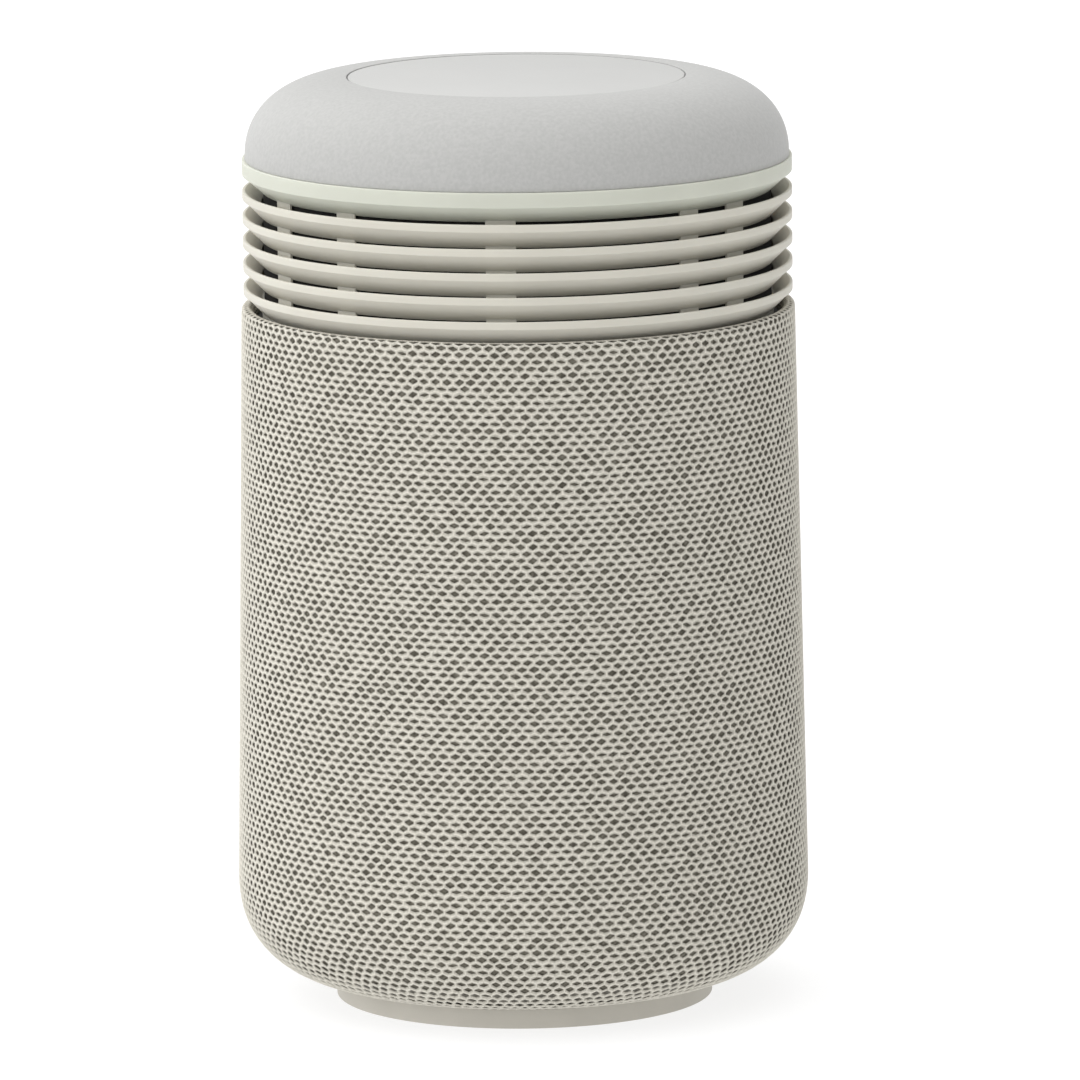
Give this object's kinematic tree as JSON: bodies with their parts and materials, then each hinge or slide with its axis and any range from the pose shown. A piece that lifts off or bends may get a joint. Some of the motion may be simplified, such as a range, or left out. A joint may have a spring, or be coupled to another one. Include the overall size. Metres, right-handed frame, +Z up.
{
  "type": "smart speaker",
  "caption": "Barrel-shaped table-top smart speaker: knit sleeve over a chamber with its drivers, louvred sound outlet, soft cap with a press disc, base with power inlet.",
  "frame": {"origin": "centre of the foot ring on the surface that it stands on", "axes": "+Z up along the barrel, front towards -Y, +X to the right seen from the front"},
  "size_m": [0.1254, 0.1254, 0.2034],
  "materials": {
    "knit": "pale warm-grey spacer knit",
    "soft_cap": "soft-touch mottled coat",
    "disc": "fine satin",
    "louvre": "satin moulded",
    "band": "satin moulded, slightly greener",
    "silicone": "matt silicone",
    "frame_plastic": "moulded",
    "black_plastic": "moulded",
    "steel": "pressed",
    "copper": "enamelled winding",
    "paper": "pulp",
    "rubber": "matt",
    "cloth": "resin cloth",
    "foam": "closed-cell foam",
    "board": "solder mask",
    "diffuser": "milky"
  },
  "bodies": {
    "chassis": {"base_pan": "frame_plastic", "base_screw_1": "steel", "base_screw_2": "steel", "base_screw_3": "steel", "bottom_plate": "frame_plastic", "cap_frame": "black_plastic", "cap_ring": "band", "cap_shell": "soft_cap", "capacitor_1": "black_plastic", "capacitor_2": "black_plastic", "chamber_gasket": "foam", "core_screw_1": "steel", "core_screw_2": "steel", "core_screw_3": "steel", "disc_switch": "black_plastic", "foot_ring": "silicone", "grille_former": "frame_plastic", "heat_sink": "steel", "knit_sleeve": "knit", "left_radiator_frame": "black_plastic", "left_radiator_surround": "rubber", "light_guide": "diffuser", "louvre_core": "black_plastic", "louvre_ring_1": "louvre", "louvre_ring_2": "louvre", "louvre_ring_3": "louvre", "louvre_ring_4": "louvre", "louvre_ring_5": "louvre", "main_board": "board", "mute_switch": "steel", "pair_switch": "black_plastic", "power_inlet": "black_plastic", "radio_module": "steel", "return_ring": "silicone", "right_radiator_frame": "black_plastic", "right_radiator_surround": "rubber", "speaker_chamber": "black_plastic", "top_baffle": "black_plastic", "top_board": "board", "tweeter_can": "black_plastic", "tweeter_faceplate": "black_plastic", "tweeter_magnet": "steel", "waveguide": "black_plastic", "wire_harness": "rubber", "woofer_basket": "steel", "woofer_magnet": "black_plastic", "woofer_spider": "cloth", "woofer_surround": "rubber", "woofer_top_plate": "steel", "woofer_yoke": "steel"},
    "press_disc": {"press_disc": "disc"},
    "woofer_cone": {"woofer_cone": "paper", "dust_cap": "paper", "voice_coil": "copper"},
    "left_radiator": {"left_radiator_plate": "steel"},
    "right_radiator": {"right_radiator_plate": "steel"},
    "tweeter": {"tweeter_dome": "paper"},
    "mute_slider": {"mute_slider": "black_plastic"},
    "pair_button": {"pair_button": "frame_plastic"}
  },
  "joints": [
    {"name": "disc_press", "type": "slide", "parent": "chassis", "child": "press_disc", "axis": [0, 0, -1], "range_m": [0, 0.0006], "stiffness_N_per_m": 1500, "springref_m": -0.0004, "deforming": ["return_ring"]},
    {"name": "woofer_stroke", "type": "slide", "parent": "chassis", "child": "woofer_cone", "axis": [0, 0, 1], "range_m": [-0.003, 0.003], "stiffness_N_per_m": 1500},
    {"name": "left_radiator_stroke", "type": "slide", "parent": "chassis", "child": "left_radiator", "axis": [-1, 0, 0], "range_m": [-0.0025, 0.0025], "stiffness_N_per_m": 800},
    {"name": "right_radiator_stroke", "type": "slide", "parent": "chassis", "child": "right_radiator", "axis": [1, 0, 0], "range_m": [-0.0025, 0.0025], "stiffness_N_per_m": 800},
    {"name": "tweeter_stroke", "type": "slide", "parent": "chassis", "child": "tweeter", "axis": [0, -1, 0], "range_m": [-0.0002, 0.0002], "stiffness_N_per_m": 3000},
    {"name": "mute_slide", "type": "slide", "parent": "chassis", "child": "mute_slider", "axis": [1, 0, 0], "range_m": [0, 0.003]},
    {"name": "pair_press", "type": "slide", "parent": "chassis", "child": "pair_button", "axis": [0, 0, 1], "range_m": [0, 0.0006], "stiffness_N_per_m": 800, "springref_m": -0.0004}
  ]
}
